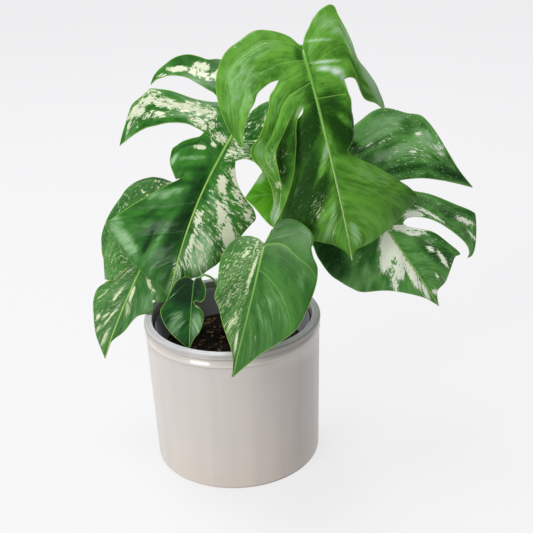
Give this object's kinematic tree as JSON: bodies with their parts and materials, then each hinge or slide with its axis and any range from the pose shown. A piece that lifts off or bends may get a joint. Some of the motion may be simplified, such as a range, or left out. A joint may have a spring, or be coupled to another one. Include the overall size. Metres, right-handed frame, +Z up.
{
  "type": "potted variegated monstera",
  "caption": "Houseplant with split, heart-shaped leaves marbled in cream on long stalks, growing from a plastic pot inside a round ceramic cover pot with a ribbed lip.",
  "frame": {"origin": "centre of the cover pot's flat base, on the plane it stands on", "axes": "+Z up along the pot's axis, +X to the viewer's right, -Y towards the side from which the picture was taken"},
  "size_m": [0.3999, 0.2694, 0.4421],
  "materials": {
    "pot_glaze": "pale grey-taupe satin glaze",
    "grower_plastic": "thin moulded plastic, grey-violet",
    "potting_mix": "loose dark mix with bark pieces",
    "stem_skin": "green-brown, ringed at its nodes",
    "stalk_skin": "smooth mid-green",
    "leaf_bright": "glossy bright green with cream flecks",
    "leaf_dark": "glossy deep green with cream sectors"
  },
  "bodies": {
    "root": {"cover_pot": "pot_glaze", "nursery_pot": "grower_plastic", "soil": "potting_mix", "stem": "stem_skin", "leaf_1": "leaf_bright", "leaf_2": "leaf_dark", "leaf_3": "leaf_dark", "leaf_4": "leaf_dark", "leaf_5": "leaf_bright", "leaf_6": "leaf_dark", "leaf_7": "leaf_bright", "petiole_1": "stalk_skin", "petiole_2": "stalk_skin", "petiole_3": "stalk_skin", "petiole_4": "stalk_skin", "petiole_5": "stalk_skin", "petiole_6": "stalk_skin", "petiole_7": "stalk_skin"}
  },
  "joints": []
}
